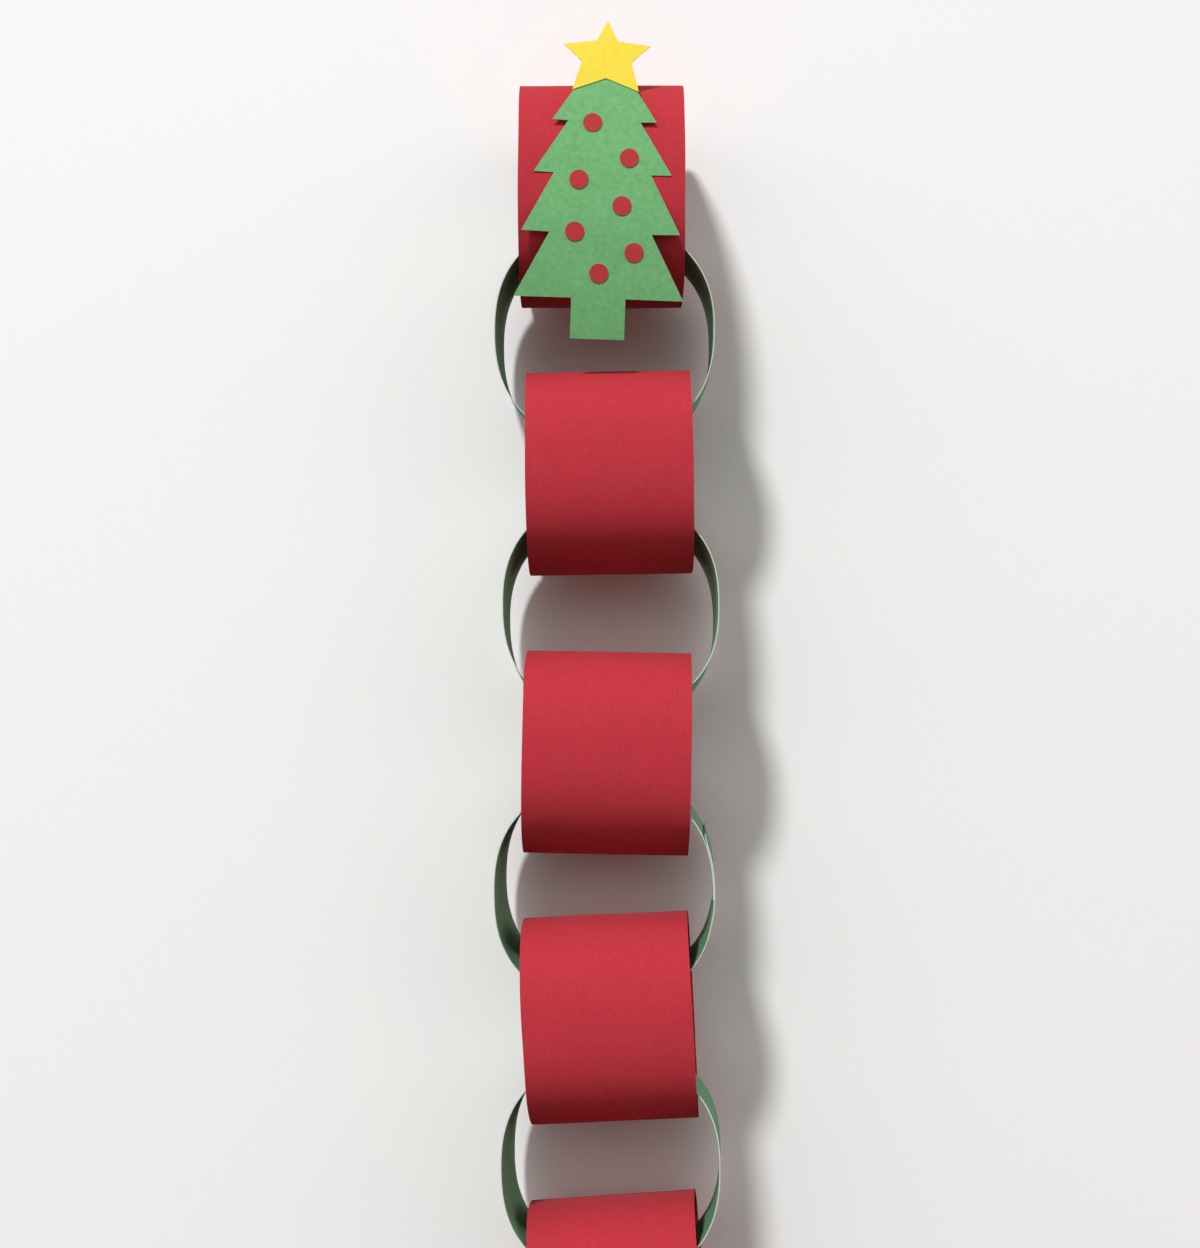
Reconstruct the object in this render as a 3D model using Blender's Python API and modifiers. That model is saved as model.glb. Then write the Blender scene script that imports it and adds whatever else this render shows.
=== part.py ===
"""A paper chain garland, in metres, +Z up.

Strips of paper are bent into loops, with their ends lapped and glued, and each loop hangs in the one
above it, turned a quarter turn. The top loop is pressed flat against the wall at its back. A paper tree
with round paper ornaments and a star is glued to its front. The origin is the middle of the flat back,
+Y points into the wall, and the chain hangs down along -Z.
"""

import math
from typing import NamedTuple

import bmesh
import bpy
import numpy as np
from mathutils import Matrix, Vector

# Strips and their loops.
STRIP_WIDTH = 0.0500
STRIP_LENGTH = 0.2286
PAPER_THICKNESS = 0.0003
LAP_RAMP = 0.009
ROUNDNESS = 2.4
WALL_FLAT = 0.018
CLEARANCE = 0.0003

# The glued tree, down from its apex: each tier is a tip and the notch under it, as (drop, half width).
TREE_APEX_HEIGHT = 0.0401
TREE_TIERS = (
    ((0.0248, 0.0156), (0.0250, 0.0108)),
    ((0.0410, 0.0206), (0.0411, 0.0145)),
    ((0.0586, 0.0237), (0.0588, 0.0153)),
)
TREE_BASE = (0.0781, 0.0254)
TRUNK_LENGTH = 0.0122
TRUNK_WIDTH = 0.0163
TREE_SHIFT = 0.0003
TREE_ROLL = -2.0
CARD_THICKNESS = 0.0003
CARD_BEND_RADIUS = 0.140
CARD_FOLD_PITCH = 0.004

# The star over the tree's top.
STAR_DROP = 0.0053
STAR_TIP_RADIUS = 0.0141
STAR_TIP_ANGLES = (90.0, 22.2, -45.0)
STAR_NOTCH_RADIUS = 0.0075
STAR_NOTCH_ANGLES = (65.0, -3.0)
STAR_FOOT_NOTCH_RADIUS = 0.0059

# The round ornaments, as (distance to the right of the tree's middle, drop below its apex).
DOT_DIAMETER = 0.0057
DOT_PLACES = (
    (-0.0035, 0.0255),
    (0.0078, 0.0361),
    (-0.0070, 0.0430),
    (0.0061, 0.0505),
    (-0.0077, 0.0585),
    (0.0102, 0.0642),
    (-0.0001, 0.0706),
)

LOOP_SEGMENTS = 72
DOT_SEGMENTS = 20

COLOURS = {
    "red": (0.60, 0.035, 0.055),
    "green": (0.055, 0.17, 0.075),
    "tree_green": (0.15, 0.50, 0.19),
    "yellow": (0.92, 0.78, 0.05),
    "ornament_red": (0.52, 0.03, 0.04),
}
PAPER_ROUGHNESS = 0.9


class Link(NamedTuple):
    """One strip of the chain: how it is glued, and how it hangs. Angles are in degrees."""

    colour: str
    lap: float
    slenderness: float
    lap_place: float = 0.0
    shift: float = 0.0
    roll: float = 0.0
    yaw: float = 0.0
    tilt: float = 0.0


# From the top. Slenderness is a loop's height over its width. A lap's place counts from the back of a red
# loop, or the right of a green one, upward.
CHAIN = (
    Link("red", lap=0.0090, slenderness=0.967, lap_place=60.0),
    Link("green", lap=0.0165, slenderness=0.98, lap_place=270.0, shift=0.0012, yaw=0.9, tilt=4.0),
    Link("red", lap=0.0205, slenderness=0.93, shift=0.0025, roll=0.9, yaw=0.5),
    Link("green", lap=0.0203, slenderness=0.98, lap_place=270.0, shift=0.0029, yaw=0.6, tilt=-1.7),
    Link("red", lap=0.0205, slenderness=0.93, shift=0.0018, roll=-1.0, yaw=0.6),
    Link("green", lap=0.0190, slenderness=0.98, lap_place=10.0, shift=0.0013, yaw=2.2, tilt=4.3),
    Link("red", lap=0.0205, slenderness=0.93, shift=0.0029, roll=2.9, yaw=2.3),
    Link("green", lap=0.0215, slenderness=0.98, lap_place=270.0, shift=0.0037, yaw=2.5, tilt=-0.6),
    Link("red", lap=0.0205, slenderness=0.93, shift=0.0056, roll=4.4, yaw=2.5),
)

# A loop is drawn in a plane, with its first axis to the back on a red link and to the right on a green one.
DRAWN_AXES = {
    "red": Matrix(((0, 0, 1), (1, 0, 0), (0, 1, 0))),
    "green": Matrix(((1, 0, 0), (0, 0, -1), (0, 1, 0))),
}


class Loop:
    """The middle line of a strip that is bent into a loop, by its length from the strip's inner end."""

    SAMPLES = 1440

    def __init__(self, link, flat=0.0):
        unit = superellipse(1.0, link.slenderness, self.SAMPLES)
        half_width = (STRIP_LENGTH - link.lap) / path_length(unit)
        self.points = unit * half_width
        self.back = half_width * flat_reach(flat / 2 / (half_width * link.slenderness))
        self.points[:, 0] = np.minimum(self.points[:, 0], self.back)
        self.lengths = np.append(0.0, np.cumsum(steps(self.points)))
        self.girth = self.lengths[-1]
        self.lap = STRIP_LENGTH - self.girth
        middle = self.lengths[round(self.SAMPLES * link.lap_place / 360.0)]
        self.start = middle - self.lap / 2

    def at(self, length):
        around = (self.start + np.asarray(length)) % self.girth
        return np.column_stack([np.interp(around, self.lengths, self.points[:, axis]) for axis in (0, 1)])

    def outward(self, length):
        nearby = self.girth / self.SAMPLES
        along = self.at(length + nearby) - self.at(length - nearby)
        along /= np.linalg.norm(along, axis=1, keepdims=True)
        return np.column_stack([along[:, 1], -along[:, 0]])

    def face(self, length, side):
        """The strip's outer (side 1) or inner (side -1) face. Its outer end climbs onto its inner end."""
        climb = np.clip((length - self.girth + LAP_RAMP) / LAP_RAMP, 0.0, 1.0)
        lift = PAPER_THICKNESS * (climb * climb * (3 - 2 * climb) + side / 2)
        return self.at(length) + self.outward(length) * lift[:, None]

    def inner_face(self):
        return self.face(np.linspace(0.0, self.girth, LOOP_SEGMENTS + 1), -1)

    def outer_face(self):
        return self.face(self.lap + np.linspace(0.0, self.girth, LOOP_SEGMENTS + 1), 1)


def superellipse(half_width, half_height, count):
    """A closed path, counter-clockwise from its right end, with its first point repeated last."""
    turn = np.linspace(0.0, 2 * math.pi, count + 1)
    across, up = np.cos(turn), np.sin(turn)
    power = 2 / ROUNDNESS
    return np.column_stack([
        half_width * np.sign(across) * np.abs(across) ** power,
        half_height * np.sign(up) * np.abs(up) ** power,
    ])


def flat_reach(height_share):
    """How far out, as a share of the half width, a loop is when it is that share of its half height up."""
    return (1 - height_share ** ROUNDNESS) ** (1 / ROUNDNESS)


def steps(points):
    return np.linalg.norm(np.diff(points, axis=0), axis=1)


def path_length(points):
    return steps(points).sum()


def new_collection(name):
    collection = bpy.data.collections.new(name)
    bpy.context.scene.collection.children.link(collection)
    return collection


def paper(name, colour):
    material = bpy.data.materials.new(name)
    material.use_nodes = True
    shader = material.node_tree.nodes["Principled BSDF"]
    shader.inputs["Base Color"].default_value = (*COLOURS[colour], 1.0)
    shader.inputs["Roughness"].default_value = PAPER_ROUGHNESS
    shader.inputs["Metallic"].default_value = 0.0
    material.diffuse_color = (*COLOURS[colour], 1.0)
    return material


def turned(link):
    """The link's turn from its drawing plane to how it hangs."""
    roll = Matrix.Rotation(math.radians(-link.roll), 3, "Y")
    tilt = Matrix.Rotation(math.radians(link.tilt), 3, "X")
    yaw = Matrix.Rotation(math.radians(-link.yaw), 3, "Z")
    return yaw @ tilt @ roll @ DRAWN_AXES[link.colour]


def inner_edges(loop, turn, place, half):
    """The strip's two inner edges, in its upper (half 1) or lower (half -1) half, as world segments."""
    drawn = loop.inner_face()
    kept = (half * drawn[:-1, 1] > 0) & (half * drawn[1:, 1] > 0)
    found = []
    for edge in (-STRIP_WIDTH / 2, STRIP_WIDTH / 2):
        points = np.column_stack([drawn, np.full(len(drawn), edge)]) @ np.array(turn).T + np.array(place)
        found.append(np.stack([points[:-1][kept], points[1:][kept]], axis=1))
    return np.concatenate(found)


def rise_to_seat(lower, upper):
    """How far up the upper segments move to lie the clearance above the lower ones, where the two cross."""
    lower_start, upper_start = lower[:, None, 0], upper[None, :, 0]
    lower_run, upper_run = lower[:, None, 1] - lower_start, upper[None, :, 1] - upper_start
    between = upper_start - lower_start
    cross = lower_run[..., 0] * upper_run[..., 1] - lower_run[..., 1] * upper_run[..., 0]
    with np.errstate(divide="ignore", invalid="ignore"):  # a parallel pair doesn't cross
        on_lower = (between[..., 0] * upper_run[..., 1] - between[..., 1] * upper_run[..., 0]) / cross
        on_upper = (between[..., 0] * lower_run[..., 1] - between[..., 1] * lower_run[..., 0]) / cross
    crossing = (on_lower >= 0) & (on_lower <= 1) & (on_upper >= 0) & (on_upper <= 1)
    gap = between[..., 2] + on_upper * upper_run[..., 2] - on_lower * lower_run[..., 2]
    normal = np.linalg.norm(np.cross(lower_run, upper_run), axis=-1)
    wanted = CLEARANCE * normal[crossing] / np.abs(cross[crossing])
    return (wanted - gap[crossing]).max()


def add_outline(curve, points):
    spline = curve.splines.new("POLY")
    spline.points.add(len(points) - 1)
    for point, (across, up) in zip(spline.points, points):
        point.co = (across, up, 0.0, 1.0)
    spline.use_cyclic_u = True


def add_link(collection, name, loop, turn, place, colour):
    """One glued loop: the outlines of its outer and inner faces, filled and drawn out to the strip's width."""
    curve = bpy.data.curves.new(name, "CURVE")
    curve.dimensions = "2D"
    curve.fill_mode = "BOTH"
    curve.extrude = STRIP_WIDTH / 2
    add_outline(curve, loop.outer_face())
    add_outline(curve, loop.inner_face())
    curve.materials.append(paper(name, colour))
    link = bpy.data.objects.new(name, curve)
    link.matrix_world = Matrix.Translation(place) @ turn.to_4x4()
    collection.objects.link(link)
    return link


def hang_chain(collection):
    """Adds the links from the top, each in its seat on the one above. Returns the top link's front."""
    for number, link in enumerate(CHAIN, start=1):
        name = f"link_{number}_{link.colour}"
        loop, turn = Loop(link, WALL_FLAT if number == 1 else 0.0), turned(link)
        if number == 1:
            place = Vector((link.shift, -(loop.back + PAPER_THICKNESS / 2), 0.0))
            front = place.y + loop.outer_face()[:, 0].min()
        else:
            place.x = link.shift
            place.y = min(place.y, -(CLEARANCE + reach_back(loop, turn)))
            place.z += rise_to_seat(seat, inner_edges(loop, turn, place, 1))
        add_link(collection, name, loop, turn, place, link.colour)
        seat = inner_edges(loop, turn, place, -1)
    return front


def reach_back(loop, turn):
    """How far the strip reaches behind the loop's centre."""
    drawn = loop.outer_face()
    ends = [np.column_stack([drawn, np.full(len(drawn), side * STRIP_WIDTH / 2)]) for side in (-1, 1)]
    return (np.concatenate(ends) @ np.array(turn).T)[:, 1].max()


def mirrored(half):
    """A closed outline from its right half, given from the top down, with points on the middle line kept once."""
    left = [(-across, up) for across, up in reversed(half) if across > 0]
    return list(half) + left


def tree_outline():
    half = [(0.0, 0.0)]
    for tier in TREE_TIERS:
        half += [(across, -drop) for drop, across in tier]
    base_drop, base_half_width = TREE_BASE
    half += [(base_half_width, -base_drop), (TRUNK_WIDTH / 2, -base_drop)]
    half += [(TRUNK_WIDTH / 2, -base_drop - TRUNK_LENGTH)]
    return [(across, up + TREE_APEX_HEIGHT) for across, up in mirrored(half)]


def star_outline():
    tips = [(STAR_TIP_RADIUS, angle) for angle in STAR_TIP_ANGLES]
    notches = [(STAR_NOTCH_RADIUS, angle) for angle in STAR_NOTCH_ANGLES]
    around = [tips[0], notches[0], tips[1], notches[1], tips[2], (STAR_FOOT_NOTCH_RADIUS, -90.0)]
    half = [polar(radius, angle) for radius, angle in around]
    half[0] = (0.0, STAR_TIP_RADIUS)
    half[-1] = (0.0, -STAR_FOOT_NOTCH_RADIUS)
    return [(across, up + TREE_APEX_HEIGHT - STAR_DROP) for across, up in mirrored(half)]


def polar(radius, angle):
    return radius * math.cos(math.radians(angle)), radius * math.sin(math.radians(angle))


def dot_outline(across, drop):
    turns = [360.0 * step / DOT_SEGMENTS for step in range(DOT_SEGMENTS)]
    around = [polar(DOT_DIAMETER / 2, turn) for turn in turns]
    return [(across + right, TREE_APEX_HEIGHT - drop + up) for right, up in around]


def add_card(collection, parent, name, outline, layer, colour):
    """A paper shape, bent back round a level axis behind it. Each layer lies the clearance before the last."""
    mesh = bmesh.new()
    mesh.faces.new([mesh.verts.new((across, 0.0, up)) for across, up in outline])
    lowest, highest = min(up for _, up in outline), max(up for _, up in outline)
    for level in np.arange(lowest, highest, CARD_FOLD_PITCH)[1:]:
        everything = mesh.verts[:] + mesh.edges[:] + mesh.faces[:]
        bmesh.ops.bisect_plane(mesh, geom=everything, plane_co=(0, 0, level), plane_no=(0, 0, 1))
    ahead = CLEARANCE + CARD_THICKNESS / 2 + layer * (CARD_THICKNESS + CLEARANCE)
    for vertex in mesh.verts:
        turn = vertex.co.z / CARD_BEND_RADIUS
        radius = CARD_BEND_RADIUS + ahead
        vertex.co.y = CARD_BEND_RADIUS - radius * math.cos(turn)
        vertex.co.z = radius * math.sin(turn)
    data = bpy.data.meshes.new(name)
    mesh.to_mesh(data)
    mesh.free()
    data.materials.append(paper(name, colour))
    card = bpy.data.objects.new(name, data)
    card.parent = parent
    collection.objects.link(card)
    thicken = card.modifiers.new("Thickness", "SOLIDIFY")
    thicken.thickness = CARD_THICKNESS
    thicken.offset = 0.0
    return card


def add_tree(collection, front):
    """The tree on the front of the top link, with the star and the round ornaments on it."""
    glue_line = bpy.data.objects.new("glue_line", None)
    glue_line.location = (TREE_SHIFT, front, 0.0)
    glue_line.rotation_euler = (0.0, math.radians(-TREE_ROLL), 0.0)
    collection.objects.link(glue_line)
    add_card(collection, glue_line, "tree", tree_outline(), 0, "tree_green")
    add_card(collection, glue_line, "star", star_outline(), 1, "yellow")
    for number, (across, drop) in enumerate(DOT_PLACES, start=1):
        outline = dot_outline(across, drop)
        add_card(collection, glue_line, f"dot_{number}", outline, 1, "ornament_red")


def main():
    for old in list(bpy.data.objects):
        bpy.data.objects.remove(old)
    garland = new_collection("paper_chain_garland")
    front = hang_chain(garland)
    add_tree(garland, front)


main()
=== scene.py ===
"""A paper chain garland on a wall: the look of its paper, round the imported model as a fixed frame."""

import math
from typing import NamedTuple

import bmesh
import bpy
import numpy as np
from mathutils import Matrix, Vector, noise


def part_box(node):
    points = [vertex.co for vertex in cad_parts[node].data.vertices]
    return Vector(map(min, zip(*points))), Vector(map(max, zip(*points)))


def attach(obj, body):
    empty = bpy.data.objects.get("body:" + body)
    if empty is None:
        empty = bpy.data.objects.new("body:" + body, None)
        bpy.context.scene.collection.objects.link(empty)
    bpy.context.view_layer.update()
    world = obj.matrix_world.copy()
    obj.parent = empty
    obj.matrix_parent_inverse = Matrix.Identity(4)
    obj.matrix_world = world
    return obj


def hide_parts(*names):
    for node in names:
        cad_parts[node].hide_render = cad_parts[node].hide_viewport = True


bl_info = {
    "name": "Paper Chain Garland",
    "version": (1, 0, 0),
    "blender": (4, 5, 0),
    "location": "3D View > Sidebar > Garland",
    "description": "Adds the strips, the tree with its star and ornaments, and a wall to hang them on",
    "category": "Object",
}

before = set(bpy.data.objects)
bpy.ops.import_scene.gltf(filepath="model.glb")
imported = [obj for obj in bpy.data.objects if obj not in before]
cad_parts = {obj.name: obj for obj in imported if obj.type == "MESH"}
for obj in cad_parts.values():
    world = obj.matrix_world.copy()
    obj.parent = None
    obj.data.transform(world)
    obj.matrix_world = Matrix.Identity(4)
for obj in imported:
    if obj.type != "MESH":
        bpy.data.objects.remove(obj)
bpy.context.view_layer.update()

BODY = "root"


class Link(NamedTuple):
    """One strip of the chain: how it is glued, and how it hangs. Angles are in degrees."""

    node: str
    lap: float
    slenderness: float
    lap_place: float = 0.0
    roll: float = 0.0
    yaw: float = 0.0
    tilt: float = 0.0
    flat: float = 0.0


WALL_FLAT = 0.018
# From the top. Slenderness is a loop's height over its width. A lap's place counts from the back of a red
# loop, or the right of a green one, upward.
CHAIN = (
    Link("link_1_red", lap=0.0090, slenderness=0.967, lap_place=60.0, flat=WALL_FLAT),
    Link("link_2_green", lap=0.0165, slenderness=0.98, lap_place=270.0, yaw=0.9, tilt=4.0),
    Link("link_3_red", lap=0.0205, slenderness=0.93, roll=0.9, yaw=0.5),
    Link("link_4_green", lap=0.0203, slenderness=0.98, lap_place=270.0, yaw=0.6, tilt=-1.7),
    Link("link_5_red", lap=0.0205, slenderness=0.93, roll=-1.0, yaw=0.6),
    Link("link_6_green", lap=0.0190, slenderness=0.98, lap_place=10.0, yaw=2.2, tilt=4.3),
    Link("link_7_red", lap=0.0205, slenderness=0.93, roll=2.9, yaw=2.3),
    Link("link_8_green", lap=0.0215, slenderness=0.98, lap_place=270.0, yaw=2.5, tilt=-0.6),
    Link("link_9_red", lap=0.0205, slenderness=0.93, roll=4.4, yaw=2.5),
)
# Where a loop's right, top and width point once it hangs. A red loop opens sideways, and a green one to
# the front.
DRAWN_AXES = {
    "red": Matrix(((0, 0, 1), (1, 0, 0), (0, 1, 0))),
    "green": Matrix(((1, 0, 0), (0, 0, -1), (0, 1, 0))),
}
ROUNDNESS = 2.4
LAP_RAMP = 0.009
LAP_CLIMB = 1.1
LAP_PEEL_LENGTH = 0.004
EDGE_WOBBLE_SIZE = 0.02
LOOP_SAMPLES = 1440
STEPS_ALONG = 300
STEPS_ACROSS = 18

TREE_APEX_HEIGHT = 0.0401
# Each tier's tip and the notch under it, as a drop below the apex and a half width.
TREE_TIERS = (
    ((0.0248, 0.0156), (0.0250, 0.0108)),
    ((0.0410, 0.0206), (0.0411, 0.0145)),
    ((0.0586, 0.0237), (0.0588, 0.0153)),
)
TREE_BASE = (0.0781, 0.0254)
TRUNK_LENGTH = 0.0122
TRUNK_WIDTH = 0.0163
TREE_SHIFT = 0.0003
TREE_ROLL = -2.0
CARD_BEND_RADIUS = 0.140
CARD_MESH_PITCH = 0.0015
CARD_SEED = 11.0
TIP_CURL = 0.0005
GLUE_GAP = 0.00006

STAR_DROP = 0.0053
STAR_TIP_RADIUS = 0.0141
STAR_TIP_ANGLES = (90.0, 22.2, -45.0)
STAR_NOTCH_RADIUS = 0.0075
STAR_NOTCH_ANGLES = (65.0, -3.0)
STAR_FOOT_NOTCH_RADIUS = 0.0059

DOT_DIAMETER = 0.0057
DOT_SEGMENTS = 64
# Across from the tree's middle line, and down from its apex.
DOT_PLACES = (
    (-0.0035, 0.0255),
    (0.0078, 0.0361),
    (-0.0070, 0.0430),
    (0.0061, 0.0505),
    (-0.0077, 0.0585),
    (0.0102, 0.0642),
    (-0.0001, 0.0706),
)

SHARP_ANGLE = math.radians(40.0)
PLACE_ATTRIBUTE = "sheet_place"
SEED_OFFSETS = (1.0, 2.7, -1.3)

# How strong the mottling and the fibres are in each paper.
GRAIN = {
    "red": (0.08, 0.04),
    "green": (0.12, 0.10),
    "tree_green": (0.15, 0.12),
    "yellow": (0.06, 0.05),
    "ornament_red": (0.08, 0.04),
}
# How much paler than its face each paper's cut edge is: partly the paper's own paler cut, and partly a
# painted highlight where the edge catches the light.
EDGE_PALENESS_AND_HIGHLIGHT = {"red": 0.10, "green": 0.45, "tree_green": 0.40, "yellow": 0.25, "ornament_red": 0.3}
FIBRE_TURNS = (12.0, 57.0, 101.0, 148.0)
FIBRE_ALONG = 420.0
FIBRE_ACROSS = 5200.0
MOTTLE_SCALE = 520.0
CLOUD_SCALE = 70.0
CLOUD_SHARE = 0.3
TOOTH_SCALE = 4200.0
TOOTH_DEPTH = 0.00012
TOOTH_STRENGTH = 0.35
NOISE_SPAN = (0.3, 0.7)
FIBRE_SPAN = (0.66, 0.78)
PALE_FIBRE = (0.95, 0.93, 0.86, 1.0)
DARK_FIBRE = (0.02, 0.02, 0.02, 1.0)
PAPER_ROUGHNESS = 0.92
PAPER_GLOSS = 0.3

WALL_SIZE = 4.0
WALL_GAP = 0.0008
FLOOR_DROP = 1.6
WALL_ROUGHNESS = 0.9
WALL_GLOSS = 0.2
FLOOR_BOUNCE = (0.18, 0.17, 0.16)
# The picture's focal length and height in pixels.
PHOTO_FOCAL = 2506.0
PHOTO_HEIGHT = 1248.0
SENSOR = 36.0
CAMERA_PLACE = (-0.0005, -0.8050, -0.1871)
CAMERA_RISE = 4.0
LAMP_PLACE = (-1.02, -3.0, 2.65)
LAMP_AIM = (0.0, -0.033, -0.10)
LAMP_TINT = (0.97, 1.0, 1.0)
ROOM_TINT = (1.0, 0.93, 0.91)
# The room's light comes from all round at eye height. It rises from its low share to full strength between
# the first two heights, and falls to its high share between the others. -1 is straight down, and 1 overhead.
ROOM_RISE = (-0.15, 0.18)
ROOM_LOW_SHARE = 0.05
ROOM_FALL = (0.25, 0.75)
ROOM_HIGH_SHARE = 0.1
WALL_LETS_THROUGH = 0.5
BACKGROUND = (0.9, 0.9, 0.9, 1.0)


class GarlandSizes(bpy.types.PropertyGroup):
    """The paper's sizes."""

    strip_width: bpy.props.FloatProperty(
        name="Strip Width", description="Width of each strip", default=0.0500, unit="LENGTH"
    )
    strip_length: bpy.props.FloatProperty(
        name="Strip Length", description="Length of each strip before it is glued",
        default=0.2286, unit="LENGTH",
    )
    thickness: bpy.props.FloatProperty(
        name="Thickness", description="Thickness of the paper", default=0.0003, unit="LENGTH"
    )
    edge_wobble: bpy.props.FloatProperty(
        name="Edge Wobble", description="How far the cut edges stray", default=0.00018, unit="LENGTH"
    )
    surface_wave: bpy.props.FloatProperty(
        name="Surface Wave", description="How far the paper's face strays from a true curve",
        default=0.00032, unit="LENGTH",
    )
    wave_size: bpy.props.FloatProperty(
        name="Wave Size", description="Distance between the face's waves", default=0.028, unit="LENGTH"
    )
    lap_peel: bpy.props.FloatProperty(
        name="Lap Peel", description="How far a glued end lifts", default=0.0004, unit="LENGTH"
    )


class GarlandColours(bpy.types.PropertyGroup):
    """The paper's colours and the wall's."""

    red: bpy.props.FloatVectorProperty(
        name="Red", description="The red strips", default=(0.465, 0.026, 0.040), subtype="COLOR"
    )
    green: bpy.props.FloatVectorProperty(
        name="Green", description="The green strips", default=(0.165, 0.37, 0.20), subtype="COLOR"
    )
    tree_green: bpy.props.FloatVectorProperty(
        name="Tree Green", description="The tree", default=(0.155, 0.42, 0.165), subtype="COLOR"
    )
    yellow: bpy.props.FloatVectorProperty(
        name="Yellow", description="The star", default=(0.80, 0.63, 0.055), subtype="COLOR"
    )
    ornament_red: bpy.props.FloatVectorProperty(
        name="Ornament Red", description="The round ornaments", default=(0.45, 0.035, 0.04), subtype="COLOR"
    )
    wall: bpy.props.FloatVectorProperty(
        name="Wall", description="The wall and the floor", default=(0.86, 0.86, 0.86), subtype="COLOR"
    )


class GarlandLight(bpy.types.PropertyGroup):
    """The lamp and the room's light."""

    key_power: bpy.props.FloatProperty(
        name="Lamp Power", description="Power of the lamp in watts", default=142.0, unit="POWER"
    )
    key_size: bpy.props.FloatProperty(
        name="Lamp Size", description="Width of the lamp", default=0.5, unit="LENGTH"
    )
    room_strength: bpy.props.FloatProperty(
        name="Room Light", description="Strength of the soft light from all round", default=1.36
    )


def sizes():
    return bpy.context.scene.garland_sizes


def colours():
    return bpy.context.scene.garland_colours


def lighting():
    return bpy.context.scene.garland_light


def wander(place, size, seed):
    """A smooth value between -1 and 1 that strays over the given distance."""
    return noise.noise(Vector(place) / size + seed * Vector(SEED_OFFSETS))


def superellipse(half_width, half_height, count):
    """A closed path, counter-clockwise from its right end, with its first point repeated last."""
    turn = np.linspace(0.0, 2 * math.pi, count + 1)
    across, up = np.cos(turn), np.sin(turn)
    power = 2 / ROUNDNESS
    return np.column_stack([
        half_width * np.sign(across) * np.abs(across) ** power,
        half_height * np.sign(up) * np.abs(up) ** power,
    ])


def steps(points):
    return np.linalg.norm(np.diff(points, axis=0), axis=1)


class Loop:
    """The middle line of a strip that is bent into a loop, by its length from the strip's inner end."""

    def __init__(self, link):
        unit = superellipse(1.0, link.slenderness, LOOP_SAMPLES)
        half_width = (sizes().strip_length - link.lap) / steps(unit).sum()
        self.points = unit * half_width
        height_share = link.flat / 2 / (half_width * link.slenderness)
        self.back = half_width * (1 - height_share ** ROUNDNESS) ** (1 / ROUNDNESS)
        self.points[:, 0] = np.minimum(self.points[:, 0], self.back)
        self.lengths = np.append(0.0, np.cumsum(steps(self.points)))
        self.girth = self.lengths[-1]
        self.lap = sizes().strip_length - self.girth
        middle = self.lengths[round(LOOP_SAMPLES * link.lap_place / 360.0)]
        self.start = middle - self.lap / 2

    def at(self, length):
        around = (self.start + np.asarray(length)) % self.girth
        return np.column_stack([np.interp(around, self.lengths, self.points[:, axis]) for axis in (0, 1)])

    def outward(self, length):
        nearby = self.girth / LOOP_SAMPLES
        along = self.at(length + nearby) - self.at(length - nearby)
        along /= np.linalg.norm(along, axis=1, keepdims=True)
        return np.column_stack([along[:, 1], -along[:, 0]])


def turned(link):
    """The link's turn from its drawing plane to how it hangs."""
    roll = Matrix.Rotation(math.radians(-link.roll), 3, "Y")
    tilt = Matrix.Rotation(math.radians(link.tilt), 3, "X")
    yaw = Matrix.Rotation(math.radians(-link.yaw), 3, "Z")
    return yaw @ tilt @ roll @ DRAWN_AXES[link.node.split("_")[-1]]


def place_of(link, loop):
    lowest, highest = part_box(link.node)
    place = (lowest + highest) / 2
    if link.flat:
        place.y = -(loop.back + sizes().thickness / 2)
    return place


def strip_grid(loop, seed):
    """The strip's middle surface as rows along it, with where each point lay on the flat strip."""
    size = sizes()
    lengths = np.linspace(0.0, size.strip_length, STEPS_ALONG + 1)
    centre, outward = loop.at(lengths), loop.outward(lengths)
    climb = np.clip((lengths - loop.girth + LAP_RAMP) / LAP_RAMP, 0.0, 1.0)
    peel = np.clip((lengths - size.strip_length + LAP_PEEL_LENGTH) / LAP_PEEL_LENGTH, 0.0, 1.0)
    lift = LAP_CLIMB * size.thickness * climb * climb * (3 - 2 * climb) + size.lap_peel * peel * peel
    points, places = [], []
    for length, middle, away, raised in zip(lengths, centre, outward, lift):
        for step in range(STEPS_ACROSS + 1):
            share = 2 * step / STEPS_ACROSS - 1
            cut = size.edge_wobble * wander((length, share, 0.0), EDGE_WOBBLE_SIZE, seed + 5)
            across = share * size.strip_width / 2 + cut * abs(share) ** 3
            wave = size.surface_wave * wander((*middle, across), size.wave_size, seed)
            points.append((*(middle + away * (raised + wave)), across))
            places.append((length, across, seed))
    return points, places


def grid_faces(along, across):
    """Quads between rows of points, facing outward."""
    faces = []
    for row in range(along):
        for column in range(across):
            first = row * (across + 1) + column
            faces.append((first, first + 1, first + across + 2, first + across + 1))
    return faces


def new_piece(name, points, faces, places, materials):
    data = bpy.data.meshes.new(name)
    data.from_pydata(points, [], faces)
    attribute = data.attributes.new(PLACE_ATTRIBUTE, "FLOAT_VECTOR", "POINT")
    attribute.data.foreach_set("vector", np.array(places, dtype=np.float32).ravel())
    for material in materials:
        data.materials.append(material)
    piece = bpy.data.objects.new(name, data)
    bpy.context.scene.collection.objects.link(piece)
    return piece


def thicken(piece):
    """Gives a sheet its thickness, with the cut edges in its second material."""
    solid = piece.modifiers.new("Thickness", "SOLIDIFY")
    solid.thickness = sizes().thickness
    solid.offset = 0.0
    solid.material_offset_rim = 1
    bpy.context.view_layer.update()
    graph = bpy.context.evaluated_depsgraph_get()
    data = bpy.data.meshes.new_from_object(piece.evaluated_get(graph), depsgraph=graph)
    piece.modifiers.clear()
    piece.data = data
    data.shade_smooth()
    data.set_sharp_from_angle(angle=SHARP_ANGLE)


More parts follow.
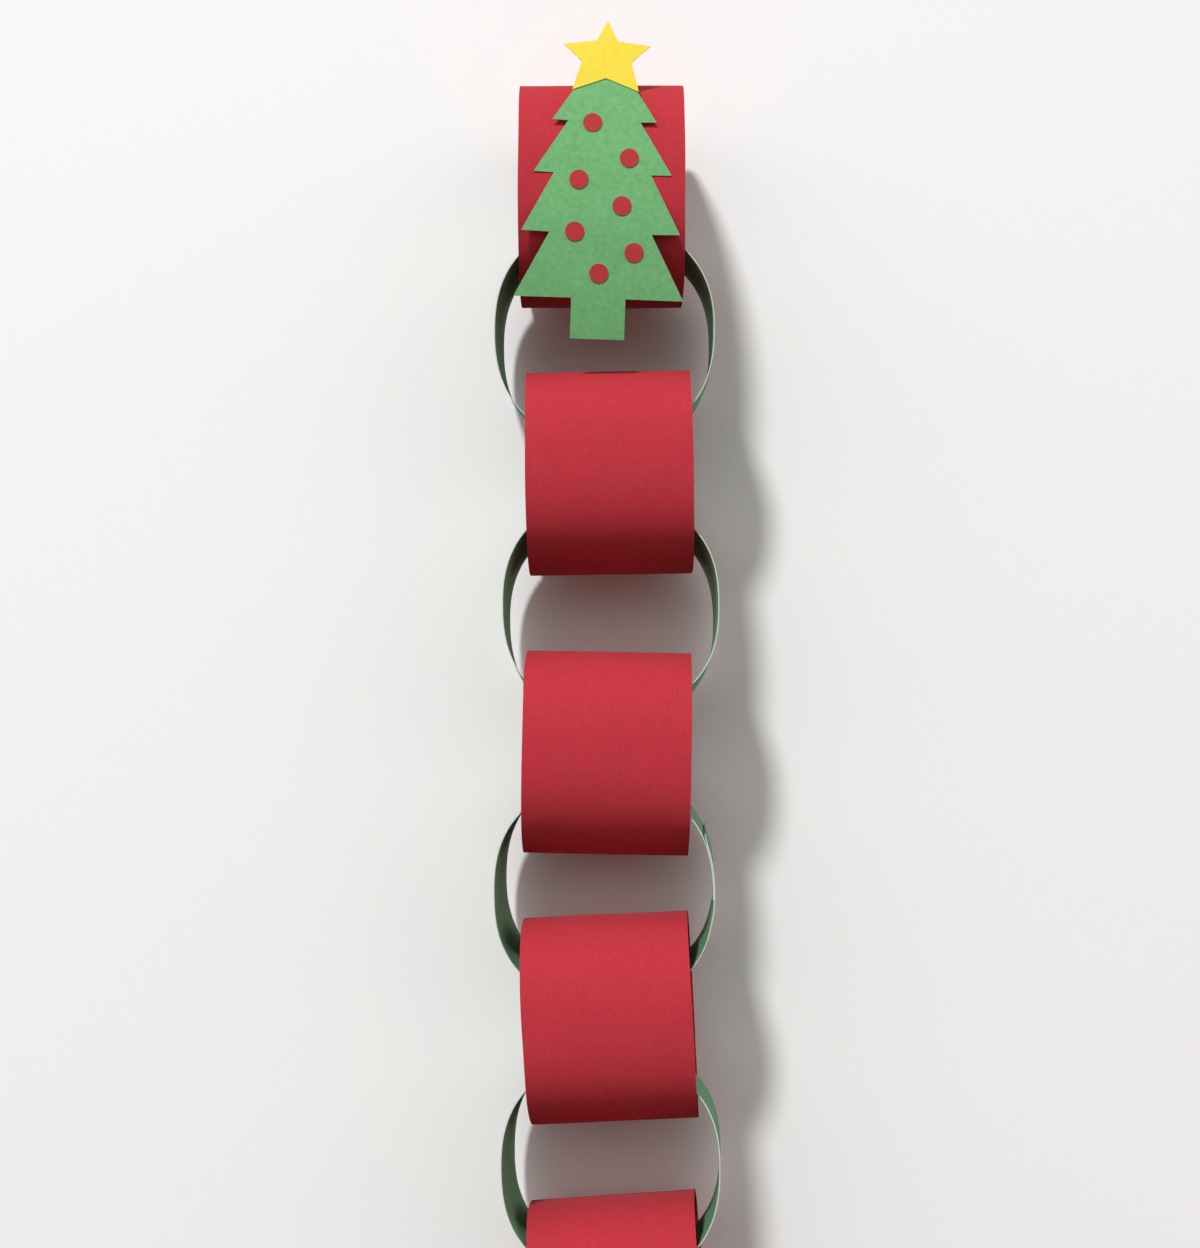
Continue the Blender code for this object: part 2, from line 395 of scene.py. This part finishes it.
def settle(piece, node):
    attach(piece, BODY)
    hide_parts(node)


def add_strip(link, seed):
    loop = Loop(link)
    points, places = strip_grid(loop, seed)
    turn, place = turned(link), place_of(link, loop)
    colour = "red" if link.node.endswith("red") else "green"
    faces = grid_faces(STEPS_ALONG, STEPS_ACROSS)
    piece = new_piece(link.node + "_strip", points, faces, places, paper(colour))
    piece.matrix_world = Matrix.Translation(place) @ turn.to_4x4()
    thicken(piece)
    settle(piece, link.node)


def polar(radius, angle):
    return radius * math.cos(math.radians(angle)), radius * math.sin(math.radians(angle))


def mirrored(half):
    """A closed outline from its right half, given from the top down, with no point of the middle line
    used twice."""
    left = [(-across, up) for across, up in reversed(half) if across > 0]
    return list(half) + left


def tree_outline():
    half = [(0.0, 0.0)]
    for tier in TREE_TIERS:
        half += [(across, -drop) for drop, across in tier]
    base_drop, base_half_width = TREE_BASE
    half += [(base_half_width, -base_drop), (TRUNK_WIDTH / 2, -base_drop)]
    half += [(TRUNK_WIDTH / 2, -base_drop - TRUNK_LENGTH), (0.0, -base_drop - TRUNK_LENGTH)]
    return [(across, up + TREE_APEX_HEIGHT) for across, up in mirrored(half)]


def star_outline():
    tips = [(STAR_TIP_RADIUS, angle) for angle in STAR_TIP_ANGLES]
    notches = [(STAR_NOTCH_RADIUS, angle) for angle in STAR_NOTCH_ANGLES]
    around = [tips[0], notches[0], tips[1], notches[1], tips[2], (STAR_FOOT_NOTCH_RADIUS, -90.0)]
    half = [polar(radius, angle) for radius, angle in around]
    half[0] = (0.0, STAR_TIP_RADIUS)
    half[-1] = (0.0, -STAR_FOOT_NOTCH_RADIUS)
    return [(across, up + TREE_APEX_HEIGHT - STAR_DROP) for across, up in mirrored(half)]


def dot_outline(across, drop):
    turns = [360.0 * step / DOT_SEGMENTS for step in range(DOT_SEGMENTS)]
    around = [polar(DOT_DIAMETER / 2, turn) for turn in turns]
    return [(across + right, TREE_APEX_HEIGHT - drop + up) for right, up in around]


def cut_sheet(outline):
    """A flat sheet of the outline, cut into small squares so that it can bend."""
    sheet = bmesh.new()
    sheet.faces.new([sheet.verts.new((across, 0.0, up)) for across, up in outline])
    for axis in (0, 2):
        values = [vertex.co[axis] for vertex in sheet.verts]
        normal = Vector((axis == 0, 0, axis == 2))
        for level in np.arange(min(values), max(values), CARD_MESH_PITCH)[1:]:
            everything = sheet.verts[:] + sheet.edges[:] + sheet.faces[:]
            bmesh.ops.bisect_plane(sheet, geom=everything, plane_co=normal * level, plane_no=normal)
    points = [tuple(vertex.co) for vertex in sheet.verts]
    faces = [tuple(vertex.index for vertex in face.verts) for face in sheet.faces]
    sheet.free()
    return points, faces


def card_surface(across, up, ahead, tip_curl):
    """Where a point of a flat cut shape lies once it is bent back round a level axis behind it."""
    size = sizes()
    stray = size.surface_wave / 2 * wander((across, up, 0.0), size.wave_size / 2, CARD_SEED)
    stray += tip_curl * (across / TREE_BASE[1]) ** 4
    radius = CARD_BEND_RADIUS + ahead + stray
    turn = up / CARD_BEND_RADIUS
    return across, CARD_BEND_RADIUS - radius * math.cos(turn), radius * math.sin(turn)


def add_card(name, node, outline, layer, colour, tip_curl=0.0):
    """A cut paper shape on the front of the top link, in its layer of glued paper."""
    flat, faces = cut_sheet(outline)
    ahead = (sizes().thickness + GLUE_GAP) * (layer + 0.5) + GLUE_GAP
    bent = [card_surface(across, up, ahead, tip_curl) for across, _, up in flat]
    places = [(across, up, CARD_SEED + layer + len(outline)) for across, _, up in flat]
    piece = new_piece(name, bent, faces, places, paper(colour))
    front = Vector((TREE_SHIFT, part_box("link_1_red")[0].y, 0.0))
    roll = Matrix.Rotation(math.radians(-TREE_ROLL), 4, "Y")
    piece.matrix_world = Matrix.Translation(front) @ roll
    thicken(piece)
    settle(piece, node)


def new_group(name, inputs, outputs):
    """An empty node group with its sockets, and its input and output nodes."""
    group = bpy.data.node_groups.new(name, "ShaderNodeTree")
    for label, kind, value in inputs:
        socket = group.interface.new_socket(label, in_out="INPUT", socket_type=kind)
        if value is not None:
            socket.default_value = value
    for label, kind in outputs:
        group.interface.new_socket(label, in_out="OUTPUT", socket_type=kind)
    return group, group.nodes.new("NodeGroupInput"), group.nodes.new("NodeGroupOutput")


def math_node(tree, operation, first, second):
    """The sum, product or other result of two values, each a socket or a number."""
    node = tree.nodes.new("ShaderNodeMath")
    node.operation = operation
    for socket, value in zip(node.inputs, (first, second)):
        if isinstance(value, bpy.types.NodeSocket):
            tree.links.new(value, socket)
        else:
            socket.default_value = value
    return node.outputs[0]


def noise_node(tree, place, scale, detail, roughness=0.5):
    node = tree.nodes.new("ShaderNodeTexNoise")
    node.inputs["Scale"].default_value = scale
    node.inputs["Detail"].default_value = detail
    node.inputs["Roughness"].default_value = roughness
    tree.links.new(place, node.inputs["Vector"])
    return node.outputs["Fac"]


def range_node(tree, value, low, high, new_low=0.0, new_high=1.0):
    node = tree.nodes.new("ShaderNodeMapRange")
    tree.links.new(value, node.inputs["Value"])
    for label, number in (("From Min", low), ("From Max", high), ("To Min", new_low), ("To Max", new_high)):
        node.inputs[label].default_value = number
    return node.outputs["Result"]


def mapped(tree, place, turn, stretch):
    node = tree.nodes.new("ShaderNodeMapping")
    node.inputs["Rotation"].default_value = (0.0, 0.0, math.radians(turn))
    node.inputs["Scale"].default_value = stretch
    tree.links.new(place, node.inputs["Vector"])
    return node.outputs["Vector"]


def mix_colour(tree, share, first, second):
    node = tree.nodes.new("ShaderNodeMix")
    node.data_type = "RGBA"
    for label, value in (("Factor", share), ("A", first), ("B", second)):
        socket = next(s for s in node.inputs if s.name == label and s.enabled)
        if isinstance(value, bpy.types.NodeSocket):
            tree.links.new(value, socket)
        else:
            socket.default_value = value
    return next(s for s in node.outputs if s.enabled)


def paper_group():
    """The pulp of coloured construction paper: cloudy patches, mottling and short fibres."""
    name = "construction paper"
    if name in bpy.data.node_groups:
        return bpy.data.node_groups[name]
    inputs = (
        ("Place", "NodeSocketVector", None),
        ("Colour", "NodeSocketColor", (0.5, 0.5, 0.5, 1.0)),
        ("Mottle", "NodeSocketFloat", 0.1),
        ("Fibres", "NodeSocketFloat", 0.3),
    )
    outputs = (("Colour", "NodeSocketColor"), ("Height", "NodeSocketFloat"))
    group, given, result = new_group(name, inputs, outputs)
    place = given.outputs["Place"]
    mottle = range_node(group, noise_node(group, place, MOTTLE_SCALE, 3.0, 0.6), *NOISE_SPAN, -1.0, 1.0)
    cloud = range_node(group, noise_node(group, place, CLOUD_SCALE, 2.0), *NOISE_SPAN, -1.0, 1.0)
    fine = math_node(group, "MULTIPLY", mottle, 1.0 - CLOUD_SHARE)
    patch = math_node(group, "ADD", fine, math_node(group, "MULTIPLY", cloud, CLOUD_SHARE))
    value = math_node(group, "ADD", math_node(group, "MULTIPLY", patch, given.outputs["Mottle"]), 1.0)
    pale, dark = fibre_masks(group, place)
    shade = group.nodes.new("ShaderNodeVectorMath")
    shade.operation = "SCALE"
    group.links.new(given.outputs["Colour"], shade.inputs[0])
    group.links.new(value, shade.inputs["Scale"])
    pale_share = math_node(group, "MULTIPLY", pale, given.outputs["Fibres"])
    dark_share = math_node(group, "MULTIPLY", dark, given.outputs["Fibres"])
    lit = mix_colour(group, pale_share, shade.outputs[0], PALE_FIBRE)
    full = mix_colour(group, dark_share, lit, DARK_FIBRE)
    group.links.new(full, result.inputs["Colour"])
    tooth = noise_node(group, place, TOOTH_SCALE, 3.0, 0.65)
    fibres = math_node(group, "MULTIPLY", math_node(group, "ADD", pale, dark), 0.5)
    group.links.new(math_node(group, "ADD", tooth, fibres), result.inputs["Height"])
    return group


def fibre_masks(group, place):
    """Thin streaks in several directions: half of them pale fibres, and half dark."""
    masks = []
    for turn in FIBRE_TURNS:
        streak = noise_node(group, mapped(group, place, turn, (FIBRE_ALONG, FIBRE_ACROSS, 1.0)), 1.0, 1.0)
        masks.append(range_node(group, streak, *FIBRE_SPAN))
    pale = math_node(group, "MAXIMUM", masks[0], masks[1])
    dark = math_node(group, "MAXIMUM", masks[2], masks[3])
    return pale, dark


def paper(colour):
    """The paper's face and its paler cut edge, partly the paper's own paler cut and partly a painted
    highlight where the edge catches the light.
    """
    face = paper_material(colour + " paper", colour, 0.0)
    return [face, paper_material(colour + " cut edge", colour, EDGE_PALENESS_AND_HIGHLIGHT[colour])]


def paper_material(name, colour, paleness_and_highlight):
    if name in bpy.data.materials:
        return bpy.data.materials[name]
    material = bpy.data.materials.new(name)
    material.use_nodes = True
    tree = material.node_tree
    shader = tree.nodes["Principled BSDF"]
    group = tree.nodes.new("ShaderNodeGroup")
    group.node_tree = paper_group()
    attribute = tree.nodes.new("ShaderNodeAttribute")
    attribute.attribute_name = PLACE_ATTRIBUTE
    tree.links.new(attribute.outputs["Vector"], group.inputs["Place"])
    base = getattr(colours(), colour)
    # The cut edge's colour is lifted toward white: partly the paper's own paler cut, partly a painted
    # highlight.
    group.inputs["Colour"].default_value = (*[c + (1.0 - c) * paleness_and_highlight for c in base], 1.0)
    group.inputs["Mottle"].default_value, group.inputs["Fibres"].default_value = GRAIN[colour]
    tree.links.new(group.outputs["Colour"], shader.inputs["Base Color"])
    bump = tree.nodes.new("ShaderNodeBump")
    bump.inputs["Strength"].default_value = TOOTH_STRENGTH
    bump.inputs["Distance"].default_value = TOOTH_DEPTH
    tree.links.new(group.outputs["Height"], bump.inputs["Height"])
    tree.links.new(bump.outputs["Normal"], shader.inputs["Normal"])
    shader.inputs["Roughness"].default_value = PAPER_ROUGHNESS
    shader.inputs["Specular IOR Level"].default_value = PAPER_GLOSS
    return material


def one_sided(name, colour, bounce, lets_through):
    """A matt surface that can't be seen from behind. The light it bounces has a colour of its own, and
    part of the light behind it comes through, so that the back of the garland isn't black."""
    material = bpy.data.materials.new(name)
    material.use_nodes = True
    tree = material.node_tree
    shader = tree.nodes["Principled BSDF"]
    path = tree.nodes.new("ShaderNodeLightPath")
    base = mix_colour(tree, path.outputs["Is Camera Ray"], (*bounce, 1.0), (*colour, 1.0))
    tree.links.new(base, shader.inputs["Base Color"])
    shader.inputs["Roughness"].default_value = WALL_ROUGHNESS
    shader.inputs["Specular IOR Level"].default_value = WALL_GLOSS
    clear = tree.nodes.new("ShaderNodeBsdfTransparent")
    side = tree.nodes.new("ShaderNodeNewGeometry")
    unseen = math_node(tree, "SUBTRACT", 1.0, path.outputs["Is Camera Ray"])
    through = math_node(tree, "MULTIPLY", unseen, lets_through)
    mix = tree.nodes.new("ShaderNodeMixShader")
    tree.links.new(math_node(tree, "MAXIMUM", side.outputs["Backfacing"], through), mix.inputs["Fac"])
    tree.links.new(shader.outputs[0], mix.inputs[1])
    tree.links.new(clear.outputs[0], mix.inputs[2])
    tree.links.new(mix.outputs[0], tree.nodes["Material Output"].inputs["Surface"])
    return material


def add_plane(name, place, turn, material):
    half = WALL_SIZE / 2
    data = bpy.data.meshes.new(name)
    corners = [(-half, -half, 0), (half, -half, 0), (half, half, 0), (-half, half, 0)]
    data.from_pydata(corners, [], [(0, 1, 2, 3)])
    data.materials.append(material)
    plane = bpy.data.objects.new(name, data)
    plane.location = place
    plane.rotation_euler = turn
    bpy.context.scene.collection.objects.link(plane)


def add_camera():
    data = bpy.data.cameras.new("camera")
    data.sensor_width = SENSOR
    data.lens = PHOTO_FOCAL / PHOTO_HEIGHT * SENSOR
    camera = bpy.data.objects.new("camera", data)
    camera.location = CAMERA_PLACE
    camera.rotation_euler = (math.radians(90.0 + CAMERA_RISE), 0.0, 0.0)
    bpy.context.scene.collection.objects.link(camera)
    bpy.context.scene.camera = camera


def add_lamp():
    light = lighting()
    data = bpy.data.lights.new("lamp", "AREA")
    data.shape = "DISK"
    data.size = light.key_size
    data.energy = light.key_power
    data.color = LAMP_TINT
    lamp = bpy.data.objects.new("lamp", data)
    lamp.location = LAMP_PLACE
    lamp.rotation_euler = (Vector(LAMP_PLACE) - Vector(LAMP_AIM)).to_track_quat("Z", "Y").to_euler()
    bpy.context.scene.collection.objects.link(lamp)


def light_room():
    """Soft light from the windows' height, less from above and below, and a pale background behind all."""
    world = bpy.data.worlds.new("room")
    world.use_nodes = True
    tree = world.node_tree
    soft = tree.nodes["Background"]
    soft.inputs["Color"].default_value = (*ROOM_TINT, 1.0)
    place = tree.nodes.new("ShaderNodeTexCoord")
    split = tree.nodes.new("ShaderNodeSeparateXYZ")
    tree.links.new(place.outputs["Generated"], split.inputs[0])
    rise = range_node(tree, split.outputs["Z"], *ROOM_RISE, ROOM_LOW_SHARE, 1.0)
    fall = range_node(tree, split.outputs["Z"], *ROOM_FALL, 1.0, ROOM_HIGH_SHARE)
    share = math_node(tree, "MULTIPLY", rise, fall)
    tree.links.new(math_node(tree, "MULTIPLY", share, lighting().room_strength), soft.inputs["Strength"])
    pale = tree.nodes.new("ShaderNodeBackground")
    pale.inputs["Color"].default_value = BACKGROUND
    seen = tree.nodes.new("ShaderNodeLightPath")
    mix = tree.nodes.new("ShaderNodeMixShader")
    tree.links.new(seen.outputs["Is Camera Ray"], mix.inputs["Fac"])
    tree.links.new(soft.outputs[0], mix.inputs[1])
    tree.links.new(pale.outputs[0], mix.inputs[2])
    tree.links.new(mix.outputs[0], tree.nodes["World Output"].inputs["Surface"])
    bpy.context.scene.world = world


class GARLAND_OT_add_chain(bpy.types.Operator):
    """Adds the interlocked strips, each in its place on the one above"""

    bl_idname = "garland.add_chain"
    bl_label = "Add Chain"

    def execute(self, context):
        for number, link in enumerate(CHAIN, start=1):
            add_strip(link, float(number))
        return {"FINISHED"}


class GARLAND_OT_add_tree(bpy.types.Operator):
    """Adds the cut paper tree on the front of the top link"""

    bl_idname = "garland.add_tree"
    bl_label = "Add Tree"

    def execute(self, context):
        add_card("tree_cut_paper", "tree", tree_outline(), 0, "tree_green", TIP_CURL)
        return {"FINISHED"}


class GARLAND_OT_add_star(bpy.types.Operator):
    """Adds the star over the tree's top"""

    bl_idname = "garland.add_star"
    bl_label = "Add Star"

    def execute(self, context):
        add_card("star_cut_paper", "star", star_outline(), 1, "yellow")
        return {"FINISHED"}


class GARLAND_OT_add_ornaments(bpy.types.Operator):
    """Adds the round ornaments on the tree"""

    bl_idname = "garland.add_ornaments"
    bl_label = "Add Ornaments"

    def execute(self, context):
        for number, (across, drop) in enumerate(DOT_PLACES, start=1):
            name, node = f"dot_{number}_punched_paper", f"dot_{number}"
            add_card(name, node, dot_outline(across, drop), 1, "ornament_red")
        return {"FINISHED"}


class GARLAND_OT_add_stage(bpy.types.Operator):
    """Adds the wall, the floor, the camera and the light"""

    bl_idname = "garland.add_stage"
    bl_label = "Add Stage"

    def execute(self, context):
        plain = colours().wall
        wall = one_sided("plain wall", plain, plain, WALL_LETS_THROUGH)
        floor = one_sided("plain floor", plain, FLOOR_BOUNCE, 0.0)
        add_plane("wall", (0.0, WALL_GAP, 0.0), (math.radians(90.0), 0.0, 0.0), wall)
        add_plane("floor", (0.0, WALL_GAP - WALL_SIZE / 2, -FLOOR_DROP), (0.0, 0.0, 0.0), floor)
        add_camera()
        add_lamp()
        light_room()
        context.scene.view_settings.view_transform = "Standard"
        return {"FINISHED"}


class GARLAND_PT_panel(bpy.types.Panel):
    """The garland's sizes, colours and operators"""

    bl_label = "Paper Chain Garland"
    bl_idname = "GARLAND_PT_panel"
    bl_space_type = "VIEW_3D"
    bl_region_type = "UI"
    bl_category = "Garland"

    def draw(self, context):
        for group in (sizes(), colours(), lighting()):
            for name in group.bl_rna.properties.keys():
                if name not in ("rna_type", "name"):
                    self.layout.prop(group, name)
        for operator in OPERATORS:
            self.layout.operator(operator.bl_idname)


GROUPS = (GarlandSizes, GarlandColours, GarlandLight)
OPERATORS = (
    GARLAND_OT_add_chain,
    GARLAND_OT_add_tree,
    GARLAND_OT_add_star,
    GARLAND_OT_add_ornaments,
    GARLAND_OT_add_stage,
)
CLASSES = (*GROUPS, *OPERATORS, GARLAND_PT_panel)


def register():
    for item in CLASSES:
        bpy.utils.register_class(item)
    bpy.types.Scene.garland_sizes = bpy.props.PointerProperty(type=GarlandSizes)
    bpy.types.Scene.garland_colours = bpy.props.PointerProperty(type=GarlandColours)
    bpy.types.Scene.garland_light = bpy.props.PointerProperty(type=GarlandLight)


def unregister():
    del bpy.types.Scene.garland_light
    del bpy.types.Scene.garland_colours
    del bpy.types.Scene.garland_sizes
    for item in reversed(CLASSES):
        bpy.utils.unregister_class(item)


def main():
    register()
    bpy.ops.garland.add_stage()
    bpy.ops.garland.add_chain()
    bpy.ops.garland.add_tree()
    bpy.ops.garland.add_star()
    bpy.ops.garland.add_ornaments()


if __name__ == "__main__":
    main()
